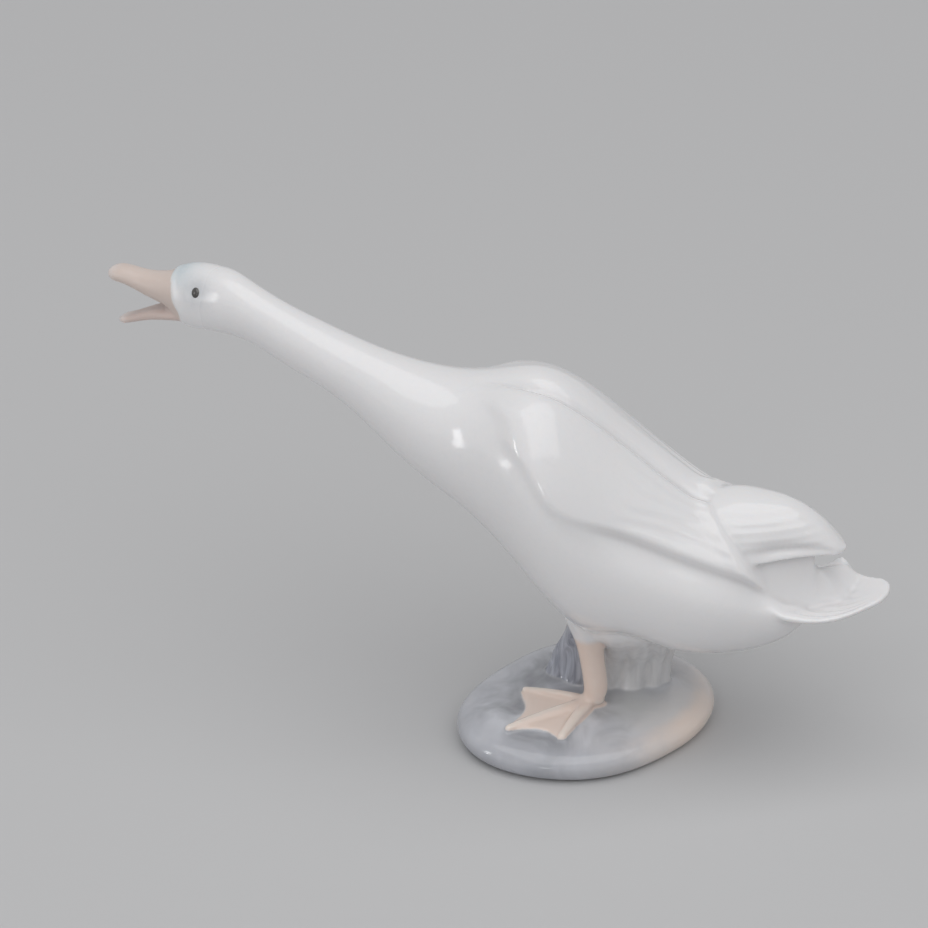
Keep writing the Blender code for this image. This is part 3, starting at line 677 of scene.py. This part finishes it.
goose_mesh.normals_split_custom_set_from_vertices(fine_normals[nearest].tolist())


# Painting: each colour is laid on as one soft-edged area. An area is a mask on the skin,
# worked out from the part that it covers and from its own outline.
def surface_of(mesh):
    """Tree of a mesh's faces, which finds the nearest point on them."""
    return BVHTree.FromPolygons([v.co for v in mesh.vertices], [tuple(f.vertices) for f in mesh.polygons])


def distance_to(part, reach):
    """Distance from each point of the goose to a part's surface, up to a reach."""
    mesh = wet_mesh("guide", [part])
    tree = surface_of(mesh)
    bpy.data.meshes.remove(mesh)
    low = np.min([p.min(axis=0) for p, _ in wet_parts[part]], axis=0) - reach
    high = np.max([p.max(axis=0) for p, _ in wet_parts[part]], axis=0) + reach
    out = np.full(len(goose_points), reach)
    for i in np.nonzero(np.all((goose_points > low) & (goose_points < high), axis=1))[0]:
        found = tree.find_nearest(Vector(goose_points[i] * MM), reach * MM)
        if found[3] is not None:
            out[i] = found[3] / MM
    return out


def paint_area(name, values):
    layer = goose_mesh.attributes.new(name, "FLOAT", "POINT")
    layer.data.foreach_set("value", np.clip(values, 0.0, 1.0).astype(np.float32))


x, y, z = goose_points.T
u, v, level = head_axes(goose_points)
past_line = u - bill_line(level)
on_head = ramp(level, HEAD_BOTTOM - 2, HEAD_BOTTOM) * (u > HEAD_BACK)
bill = ramp(past_line, -0.3, 0.3) * on_head
lower = (u > 4) * ramp(upper_z(u) - upper_h(u) * 0.75 - level, -0.6, 0.6)
paint_area("bill", bill)
paint_area("bill_nail", bill * np.maximum(ramp(u, 24.5, 28.0), lower * ramp(u, 21.5, 25.0)))
paint_area("bill_lower", bill * lower)
paint_area("brow", (1 - bill) * on_head * ramp(level, 105.5, 111.5)
           * np.exp(-((np.minimum(past_line + 1.5, 0.0) / 6.0) ** 2)))
paint_area("satin", np.maximum(bill, on_head * ramp(u, -13.5, 3)))
around_eye = np.sqrt((u - EYE_U) ** 2 + (np.abs(v) - EYE_OUT) ** 2 + (level - EYE_LEVEL) ** 2)
paint_area("eye_shade", on_head * np.exp(-((around_eye / 4.0) ** 2)))

to_leg = distance_to("leg", 2.0)
to_support = distance_to("support", 2.5)
leg = ramp(-to_leg, -1.0, -0.35) * ramp(z, 9.35, 9.75) * (1 - ramp(z, 30.5, 33.5))
stand = 1 - ramp(z, 9.5, 10.3)
support = ramp(-to_support, -2.0, -1.0) * ramp(z, 9.4, 10.2) * (1 - ramp(z, 28.0, 34.0)) * (1 - leg)
paint_area("leg", leg)
paint_area("stand", stand * (1 - leg))
paint_area("support", support)
paint_area("support_blue", 1 - ramp(x, -4.0, 3.0))
turn = np.arctan2(y - BASE_MIDDLE_Y, x)
out_share = np.hypot(x, y - BASE_MIDDLE_Y) / base_outline(turn)
paint_area("rim", ramp(out_share, 0.72, 0.93))
right_rim = np.exp(-(((turn - math.radians(-8)) / math.radians(50)) ** 2))
paint_area("rim_pale", right_rim * ramp(out_share, 0.5, 0.8))
paint_area("rim_peach", right_rim ** 2 * ramp(out_share, 0.78, 0.93))
# The base top under the belly is painted with a reflection of the belly's shaded underside.
paint_area("belly_reflection", np.exp(-(((x - 14.5) / 10.5) ** 2) - (((y + 3.5) / 8.5) ** 2)))
paint_area("underside", 1 - ramp(z, 0.05, 0.5))

pull = neighbour_mean(points) - points
bend = np.einsum("ij,ij->i", pull, fine_normals)
for _ in range(4):
    bend = neighbour_mean(bend)
bend = bend[nearest]
# Hollows get a darker white: painted shade, with some tint of the thicker glaze there.
paint_area("pooled_glaze_and_shade", ramp(bend, 0.002, 0.022))
# Convex edges get a paler leg colour: painted highlight, with the glaze worn thin there.
paint_area("edge_wear_and_highlight", ramp(-bend, 0.006, 0.03))


# Glaze and paint: clear glossy feldspar glaze over a cool white body. Under it lie sprayed
# peach on the bill, legs and right rim, and drifting blue-grey on the base and the support.
WHITE = (0.865, 0.856, 0.862)
CLOUD_WHITE = (0.85, 0.845, 0.856)
# Darker white for the hollows: painted shade, with the tint of the thicker glaze.
HOLLOW_SHADE_WHITE = (0.74, 0.73, 0.735)
BILL_PEACH = (0.68, 0.575, 0.52)
BILL_WARM = (0.70, 0.60, 0.55)
BILL_PALE = (0.80, 0.73, 0.70)
# Lower bill: a pinker tone, darkened as painted shade.
BILL_ROSE_SHADED = (0.64, 0.52, 0.48)
BROW_BLUE = (0.46, 0.60, 0.66)
EYE_GREY = (0.50, 0.52, 0.55)
LEG_PEACH = (0.84, 0.70, 0.62)
# Paler peach for the legs' convex edges: painted highlight, with thin glaze.
LEG_EDGE_WEAR_AND_HIGHLIGHT = (0.88, 0.78, 0.71)
BASE_LILAC = (0.32, 0.328, 0.355)
BASE_MIST = (0.66, 0.675, 0.72)
# Painted reflection of the belly's shaded underside on the base top.
BASE_BELLY_REFLECTION = (0.63, 0.635, 0.63)
BASE_RIM = (0.49, 0.50, 0.54)
BASE_PALE = (0.78, 0.755, 0.74)
BASE_PEACH = (0.92, 0.78, 0.69)
SUPPORT_BLUE = (0.27, 0.285, 0.34)
SUPPORT_PALE = (0.82, 0.815, 0.82)
SUPPORT_GREY = (0.64, 0.64, 0.65)
SUPPORT_STREAK = (0.52, 0.54, 0.61)
BISQUE = (0.74, 0.72, 0.69)
BISQUE_ROUGHNESS = 0.75
SATIN_ROUGHNESS = 0.34
GLAZE_IOR = 1.5


def wire(tree, target, value):
    """Joins a node's output to a socket, or writes a plain value on it."""
    if isinstance(value, bpy.types.NodeSocket):
        tree.links.new(value, target)
    elif hasattr(target.default_value, "__len__") and len(target.default_value) == 4 and len(value) == 3:
        target.default_value = (*value, 1.0)
    else:
        target.default_value = value


def place(tree, kind, settings=(), **inputs):
    """Adds a shader node. An input is named by its label, with _ for each space."""
    node = tree.nodes.new(kind)
    for key, value in dict(settings).items():
        setattr(node, key, value)
    for key, value in inputs.items():
        wire(tree, node.inputs[key.replace("_", " ")], value)
    return node


def calculate(tree, operation, first, second=0.0, clamp=False):
    node = place(tree, "ShaderNodeMath", {"operation": operation, "use_clamp": clamp})
    wire(tree, node.inputs[0], first)
    wire(tree, node.inputs[1], second)
    return node.outputs[0]


def blend_colours(tree, share, under, over):
    node = place(tree, "ShaderNodeMix", {"data_type": "RGBA", "clamp_factor": True})
    wire(tree, node.inputs[0], share)
    wire(tree, node.inputs[6], under)
    wire(tree, node.inputs[7], over)
    return node.outputs[2]


def new_group(name, sockets_in, sockets_out):
    group = bpy.data.node_groups.new(name, "ShaderNodeTree")
    for label, kind, value in sockets_in:
        group.interface.new_socket(label, in_out="INPUT", socket_type=kind).default_value = value
    for label, kind in sockets_out:
        group.interface.new_socket(label, in_out="OUTPUT", socket_type=kind)
    return group, group.nodes.new("NodeGroupInput"), group.nodes.new("NodeGroupOutput")


GREY = (0.5, 0.5, 0.5, 1.0)
sprayed, spray_in, spray_out = new_group(
    "sprayed_colour",
    [("Under", "NodeSocketColor", GREY), ("Paint", "NodeSocketColor", GREY),
     ("Mask", "NodeSocketFloat", 0.0), ("Cover", "NodeSocketFloat", 1.0),
     ("Grain", "NodeSocketFloat", 900.0), ("Wander", "NodeSocketFloat", 0.2)],
    [("Colour", "NodeSocketColor")])
spray_at = place(sprayed, "ShaderNodeTexCoord").outputs["Object"]
spray_noise = place(sprayed, "ShaderNodeTexNoise", Vector=spray_at, Scale=spray_in.outputs["Grain"],
                    Detail=3.0)
spray_drift = calculate(sprayed, "SUBTRACT", spray_noise.outputs["Fac"], 0.5)
spray_drift = calculate(sprayed, "MULTIPLY", spray_drift, spray_in.outputs["Wander"])
# The drift is strongest on the soft edge, where the mask is half way.
spray_edge = calculate(sprayed, "MULTIPLY", spray_in.outputs["Mask"],
                       calculate(sprayed, "SUBTRACT", 1.0, spray_in.outputs["Mask"]))
spray_edge = calculate(sprayed, "MULTIPLY", calculate(sprayed, "ADD", spray_edge, 0.06), 4.0)
spray_mask = calculate(sprayed, "MULTIPLY", spray_drift, spray_edge)
spray_mask = calculate(sprayed, "ADD", spray_mask, spray_in.outputs["Mask"], clamp=True)
spray_mask = calculate(sprayed, "MULTIPLY", spray_mask, spray_in.outputs["Cover"])
wire(sprayed, spray_out.inputs["Colour"],
     blend_colours(sprayed, spray_mask, spray_in.outputs["Under"], spray_in.outputs["Paint"]))

drifting, drift_in, drift_out = new_group(
    "drifting_tones",
    [("Tone A", "NodeSocketColor", GREY), ("Tone B", "NodeSocketColor", GREY),
     ("Stretch", "NodeSocketVector", (100.0, 100.0, 100.0)), ("Contrast", "NodeSocketFloat", 1.0)],
    [("Colour", "NodeSocketColor")])
drift_at = place(drifting, "ShaderNodeTexCoord").outputs["Object"]
drift_map = place(drifting, "ShaderNodeVectorMath", {"operation": "MULTIPLY"})
wire(drifting, drift_map.inputs[0], drift_at)
wire(drifting, drift_map.inputs[1], drift_in.outputs["Stretch"])
drift_noise = place(drifting, "ShaderNodeTexNoise", Vector=drift_map.outputs[0], Scale=1.0, Detail=3.0,
                    Distortion=0.7)
drift_share = calculate(drifting, "SUBTRACT", drift_noise.outputs["Fac"], 0.5)
drift_share = calculate(drifting, "MULTIPLY", drift_share, drift_in.outputs["Contrast"])
drift_share = calculate(drifting, "ADD", drift_share, 0.5, clamp=True)
wire(drifting, drift_out.inputs["Colour"],
     blend_colours(drifting, drift_share, drift_in.outputs["Tone A"], drift_in.outputs["Tone B"]))

glaze_skin, skin_in, skin_out = new_group(
    "glaze_skin",
    [("Ripple", "NodeSocketFloat", 260.0), ("Smoothest", "NodeSocketFloat", 0.06),
     ("Dullest", "NodeSocketFloat", 0.14)],
    [("Roughness", "NodeSocketFloat"), ("Height", "NodeSocketFloat")])
skin_at = place(glaze_skin, "ShaderNodeTexCoord").outputs["Object"]
skin_wave = place(glaze_skin, "ShaderNodeTexNoise", Vector=skin_at, Scale=skin_in.outputs["Ripple"],
                  Detail=1.5)
skin_patch = place(glaze_skin, "ShaderNodeTexNoise", Vector=skin_at, Scale=90.0, Detail=3.0)
skin_rough = place(glaze_skin, "ShaderNodeMapRange", Value=skin_patch.outputs["Fac"],
                   From_Min=0.3, From_Max=0.7,
                   To_Min=skin_in.outputs["Smoothest"], To_Max=skin_in.outputs["Dullest"])
wire(glaze_skin, skin_out.inputs["Roughness"], skin_rough.outputs["Result"])
wire(glaze_skin, skin_out.inputs["Height"], skin_wave.outputs["Fac"])

glazed = bpy.data.materials.new("glazed_porcelain")
glazed.use_nodes = True
glaze_tree = glazed.node_tree
glaze_tree.nodes.clear()


def area(name):
    return place(glaze_tree, "ShaderNodeAttribute", {"attribute_name": name}).outputs["Fac"]


def spray(under, paint, mask, cover=1.0, grain=900.0, wander=0.2):
    node = place(glaze_tree, "ShaderNodeGroup", {"node_tree": sprayed}, Under=under, Paint=paint, Mask=mask,
                 Cover=cover, Grain=grain, Wander=wander)
    return node.outputs["Colour"]


def drift(tone_a, tone_b, stretch, contrast):
    return place(glaze_tree, "ShaderNodeGroup", {"node_tree": drifting}, Tone_A=tone_a, Tone_B=tone_b,
                 Stretch=stretch, Contrast=contrast).outputs["Colour"]


cloudy_white = drift(WHITE, CLOUD_WHITE, (45.0, 45.0, 45.0), 1.6)
# Painted shade: hollows darken towards a grey white, with the tint of the thick glaze there.
colour = spray(cloudy_white, HOLLOW_SHADE_WHITE, area("pooled_glaze_and_shade"), 0.75, 500.0, 0.1)
colour = spray(colour, BROW_BLUE, area("brow"), 0.7)
colour = spray(colour, EYE_GREY, area("eye_shade"), 0.85)
bill_colour = drift(BILL_PEACH, BILL_WARM, (260.0, 260.0, 260.0), 1.5)
# The lower bill is pinker and darker: its own tone, with painted shade.
lower_shade_share = calculate(glaze_tree, "MULTIPLY", area("bill_lower"), 0.7)
bill_colour = blend_colours(glaze_tree, lower_shade_share, bill_colour, BILL_ROSE_SHADED)
nail_share = calculate(glaze_tree, "MULTIPLY", area("bill_nail"), 0.85)
bill_colour = blend_colours(glaze_tree, nail_share, bill_colour, BILL_PALE)
colour = spray(colour, bill_colour, area("bill"), 1.0, 1400.0, 0.12)
blue_side = drift(SUPPORT_BLUE, SUPPORT_STREAK, (900.0, 900.0, 60.0), 3.2)
pale_side = drift(SUPPORT_PALE, SUPPORT_GREY, (420.0, 420.0, 90.0), 2.2)
support_colour = blend_colours(glaze_tree, area("support_blue"), pale_side, blue_side)
colour = spray(colour, support_colour, area("support"), 0.95, 500.0, 0.3)
base_colour = drift(BASE_LILAC, BASE_MIST, (75.0, 75.0, 75.0), 3.0)
# Painted reflection: a grey patch under the belly stands for the belly mirrored in the glaze.
base_colour = spray(base_colour, BASE_BELLY_REFLECTION, area("belly_reflection"), 0.9, 160.0, 0.5)
base_colour = spray(base_colour, BASE_RIM, area("rim"), 0.65, 220.0, 0.5)
base_colour = spray(base_colour, BASE_PALE, area("rim_pale"), 0.8, 200.0, 0.5)
base_colour = spray(base_colour, BASE_PEACH, area("rim_peach"), 0.85, 240.0, 0.5)
colour = spray(colour, base_colour, area("stand"), 1.0, 900.0, 0.25)
# Painted highlight on the legs: convex edges turn paler, with the glaze worn thin there.
leg_colour = blend_colours(glaze_tree, area("edge_wear_and_highlight"), LEG_PEACH, LEG_EDGE_WEAR_AND_HIGHLIGHT)
colour = spray(colour, leg_colour, area("leg"), 1.0, 1200.0, 0.25)
colour = blend_colours(glaze_tree, area("underside"), colour, BISQUE)

surface = place(glaze_tree, "ShaderNodeGroup", {"node_tree": glaze_skin})
rough = place(glaze_tree, "ShaderNodeMix", {"data_type": "FLOAT"})
wire(glaze_tree, rough.inputs[0], area("underside"))
wire(glaze_tree, rough.inputs[2], surface.outputs["Roughness"])
wire(glaze_tree, rough.inputs[3], BISQUE_ROUGHNESS)
satin = place(glaze_tree, "ShaderNodeMix", {"data_type": "FLOAT"})
wire(glaze_tree, satin.inputs[0], area("satin"))
wire(glaze_tree, satin.inputs[2], rough.outputs[0])
wire(glaze_tree, satin.inputs[3], SATIN_ROUGHNESS)
ripple = place(glaze_tree, "ShaderNodeBump", Strength=0.05, Distance=0.0003, Height=surface.outputs["Height"])
glaze = place(glaze_tree, "ShaderNodeBsdfPrincipled", {"subsurface_method": "RANDOM_WALK"}, Base_Color=colour,
              Roughness=satin.outputs[0], IOR=GLAZE_IOR, Subsurface_Weight=0.25, Subsurface_Scale=0.0015,
              Normal=ripple.outputs["Normal"])
glaze.inputs["Subsurface Radius"].default_value = (1.0, 0.85, 0.75)
wire(glaze_tree, place(glaze_tree, "ShaderNodeOutputMaterial").inputs["Surface"], glaze.outputs["BSDF"])
goose_mesh.materials.clear()
goose_mesh.materials.append(glazed)
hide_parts("goose_figurine")
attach(goose, "root")


# Eyes: two raised drops of brown-black enamel, fired on with the glaze, one in each socket.
# Each is an ellipsoid of which only the outermost part stands out of the skin.
ENAMEL_BLACK = (0.035, 0.032, 0.03)
ENAMEL_BROWN = (0.075, 0.07, 0.066)
ENAMEL_IOR = 1.7
EYE_HALF_WIDE = 1.32
EYE_HALF_HIGH = 1.5
EYE_HALF_DEEP = 0.9
EYE_STANDS_OUT = 0.5

enamel = bpy.data.materials.new("eye_enamel")
enamel.use_nodes = True
enamel_tree = enamel.node_tree
enamel_tree.nodes.clear()
enamel_tone = place(enamel_tree, "ShaderNodeGroup", {"node_tree": drifting}, Tone_A=ENAMEL_BLACK,
                    Tone_B=ENAMEL_BROWN, Stretch=(700.0, 700.0, 700.0), Contrast=1.5)
enamel_skin = place(enamel_tree, "ShaderNodeGroup", {"node_tree": glaze_skin}, Smoothest=0.04, Dullest=0.08)
enamel_gloss = place(enamel_tree, "ShaderNodeBsdfPrincipled", Base_Color=enamel_tone.outputs["Colour"],
                     Roughness=enamel_skin.outputs["Roughness"], IOR=ENAMEL_IOR)
enamel_out = place(enamel_tree, "ShaderNodeOutputMaterial")
wire(enamel_tree, enamel_out.inputs["Surface"], enamel_gloss.outputs["BSDF"])

drop = bpy.data.node_groups.new("enamel_drop", "GeometryNodeTree")
for label, kind, value in (("Half Size", "NodeSocketVector", (0.001, 0.001, 0.001)),
                           ("Enamel", "NodeSocketMaterial", None)):
    socket = drop.interface.new_socket(label, in_out="INPUT", socket_type=kind)
    if value:
        socket.default_value = value
drop.interface.new_socket("Geometry", in_out="OUTPUT", socket_type="NodeSocketGeometry")
drop_in = drop.nodes.new("NodeGroupInput")
drop_out = drop.nodes.new("NodeGroupOutput")
ball = drop.nodes.new("GeometryNodeMeshUVSphere")
ball.inputs["Segments"].default_value = 40
ball.inputs["Rings"].default_value = 24
ball.inputs["Radius"].default_value = 1.0
sized = drop.nodes.new("GeometryNodeTransform")
shaded = drop.nodes.new("GeometryNodeSetShadeSmooth")
real = drop.nodes.new("GeometryNodeRealizeInstances")
dressed = drop.nodes.new("GeometryNodeSetMaterial")
drop.links.new(ball.outputs["Mesh"], sized.inputs["Geometry"])
drop.links.new(drop_in.outputs["Half Size"], sized.inputs["Scale"])
drop.links.new(sized.outputs["Geometry"], shaded.inputs["Geometry"])
drop.links.new(shaded.outputs["Geometry"], real.inputs["Geometry"])
drop.links.new(real.outputs["Geometry"], dressed.inputs["Geometry"])
drop.links.new(drop_in.outputs["Enamel"], dressed.inputs["Material"])
drop.links.new(dressed.outputs["Geometry"], drop_out.inputs["Geometry"])

skin_tree = surface_of(goose_mesh)
for side, name in ((-1, "eye_near"), (1, "eye_far")):
    aim = head_point + forward * EYE_U + sideways * side * EYE_OUT + [0, 0, EYE_LEVEL]
    socket_point, _, _, _ = skin_tree.find_nearest(Vector(aim * MM))
    outward = Vector(fine_normals[fine_tree.find(socket_point / MM)[1]])
    along = Vector(forward) - outward * outward.dot(Vector(forward))
    along.normalize()
    upright = outward.cross(along)
    maker = bpy.data.objects.new(name, bpy.data.meshes.new(name))
    bpy.context.scene.collection.objects.link(maker)
    grow = maker.modifiers.new("drop", "NODES")
    grow.node_group = drop
    for item in drop.interface.items_tree:
        if item.name == "Half Size":
            grow[item.identifier] = (EYE_HALF_WIDE * MM, EYE_HALF_HIGH * MM, EYE_HALF_DEEP * MM)
        elif item.name == "Enamel":
            grow[item.identifier] = enamel
    bpy.context.view_layer.update()
    eye_mesh = bpy.data.meshes.new_from_object(maker.evaluated_get(bpy.context.evaluated_depsgraph_get()))
    bpy.data.objects.remove(maker)
    centre = socket_point + outward * (EYE_STANDS_OUT - EYE_HALF_DEEP) * MM
    stance = Matrix((
        (along.x, upright.x, outward.x, centre.x),
        (along.y, upright.y, outward.y, centre.y),
        (along.z, upright.z, outward.z, centre.z),
        (0.0, 0.0, 0.0, 1.0),
    ))
    eye_mesh.transform(stance)
    if stance.determinant() < 0:
        eye_mesh.flip_normals()
    eye = bpy.data.objects.new(name, eye_mesh)
    bpy.context.scene.collection.objects.link(eye)
    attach(eye, "root")


# Studio: a plain pale floor, a wide lamp overhead, a tall one at the left front and a small
# one low in front, which leave the soft highlights on the glaze. Lengths here are metres.
FLOOR_HALF = 4.0
FLOOR_DROP = 0.00005
FLOOR_GREY = (0.575, 0.575, 0.58, 1.0)
FLOOR_ROUGHNESS = 0.85
LAMPS_AIM = Vector((-0.01, 0.0, 0.06))

floor_mesh = bpy.data.meshes.new("floor")
corners = [(-1, -1), (1, -1), (1, 1), (-1, 1)]
floor_mesh.from_pydata([(FLOOR_HALF * i, FLOOR_HALF * j, 0) for i, j in corners], [], [(0, 1, 2, 3)])
floor = bpy.data.objects.new("floor", floor_mesh)
floor.location.z = -FLOOR_DROP
bpy.context.scene.collection.objects.link(floor)
paper = bpy.data.materials.new("studio_paper")
paper.use_nodes = True
paper_tree = paper.node_tree
paper_shader = paper_tree.nodes["Principled BSDF"]
paper_shader.inputs["Base Color"].default_value = FLOOR_GREY
paper_shader.inputs["Roughness"].default_value = FLOOR_ROUGHNESS
floor_mesh.materials.append(paper)

world = bpy.data.worlds.new("studio")
bpy.context.scene.world = world
world.use_nodes = True
world_tree = world.node_tree
world_tree.nodes.clear()
rays = place(world_tree, "ShaderNodeLightPath")
seen = calculate(world_tree, "MAXIMUM", rays.outputs["Is Camera Ray"], rays.outputs["Is Glossy Ray"])
seen = calculate(world_tree, "MAXIMUM", seen, rays.outputs["Is Transmission Ray"])
fill_light = place(world_tree, "ShaderNodeBackground", Color=(0.98, 0.985, 1.0), Strength=0.28)
backdrop = place(world_tree, "ShaderNodeBackground", Color=(0.70, 0.70, 0.71), Strength=1.0)
sky = place(world_tree, "ShaderNodeMixShader")
wire(world_tree, sky.inputs[0], seen)
world_tree.links.new(fill_light.outputs[0], sky.inputs[1])
world_tree.links.new(backdrop.outputs[0], sky.inputs[2])
world_tree.links.new(sky.outputs[0], place(world_tree, "ShaderNodeOutputWorld").inputs["Surface"])


def softbox(name, turn_deg, rise_deg, away, size, watts):
    """An area lamp seen from the goose in a given direction, facing it."""
    turn_to, rise = math.radians(turn_deg), math.radians(rise_deg)
    level_share = math.cos(rise)
    direction = Vector((math.cos(turn_to) * level_share, math.sin(turn_to) * level_share, math.sin(rise)))
    lamp = bpy.data.lights.new(name, "AREA")
    lamp.shape = "RECTANGLE"
    lamp.size, lamp.size_y = size
    lamp.energy = watts
    lamp_object = bpy.data.objects.new(name, lamp)
    lamp_object.matrix_world = (Matrix.Translation(LAMPS_AIM + direction * away)
                                @ direction.to_track_quat("Z", "Y").to_matrix().to_4x4())
    bpy.context.scene.collection.objects.link(lamp_object)


softbox("overhead", -68.0, 72.0, 2.2, (3.4, 3.4), 45.0)
softbox("left_front", -153.0, 10.0, 1.1, (0.13, 0.42), 0.95)
softbox("low_front", -98.0, 4.0, 1.3, (0.2, 0.14), 0.6)

bpy.context.scene.view_settings.view_transform = "Standard"
